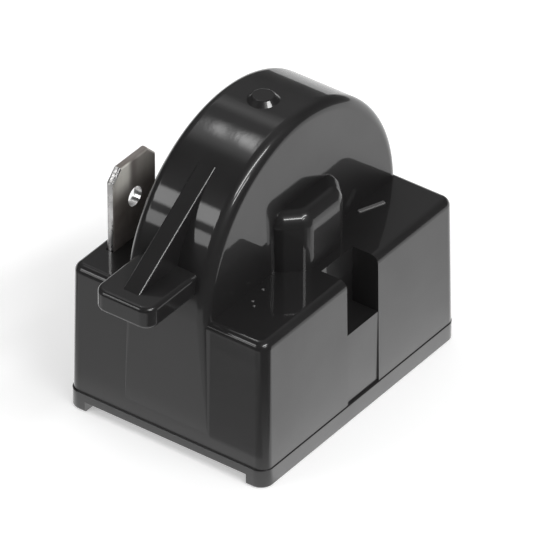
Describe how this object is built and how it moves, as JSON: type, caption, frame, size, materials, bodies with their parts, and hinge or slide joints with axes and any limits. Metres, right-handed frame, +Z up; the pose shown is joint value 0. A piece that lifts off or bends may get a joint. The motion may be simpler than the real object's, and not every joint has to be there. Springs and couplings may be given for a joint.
{
  "type": "compressor start relay",
  "caption": "Plug-on start relay for a fridge compressor: black moulded box with a half-round dome, a gusseted tongue and one flat blade terminal, with pin holes in its base.",
  "frame": {"origin": "middle of the part's outline, on the plane that its base stands on", "axes": "+Z up through the dome, X along the box with the tongue at -X, Y across it with the notched face at -Y"},
  "size_m": [0.035, 0.0218, 0.0295],
  "materials": {
    "black_shell": "glossy moulded black",
    "black_base": "semi-gloss moulded black",
    "silvered_ceramic": "dull silvered ceramic",
    "tinned_brass": "bright tin, worn at the edges",
    "spring_steel": "satin",
    "brass": "satin"
  },
  "bodies": {
    "root": {"housing": "black_shell", "base_cover": "black_base", "ptc_pill": "silvered_ceramic", "line_terminal": "tinned_brass", "start_terminal": "tinned_brass", "start_pin_sleeve": "brass", "run_pin_sleeve": "brass", "start_sleeve_clip": "spring_steel", "run_sleeve_clip": "spring_steel", "run_contact_spring": "spring_steel", "start_contact_spring": "spring_steel", "run_spring_rivet": "brass", "start_spring_rivet": "brass"}
  },
  "joints": []
}
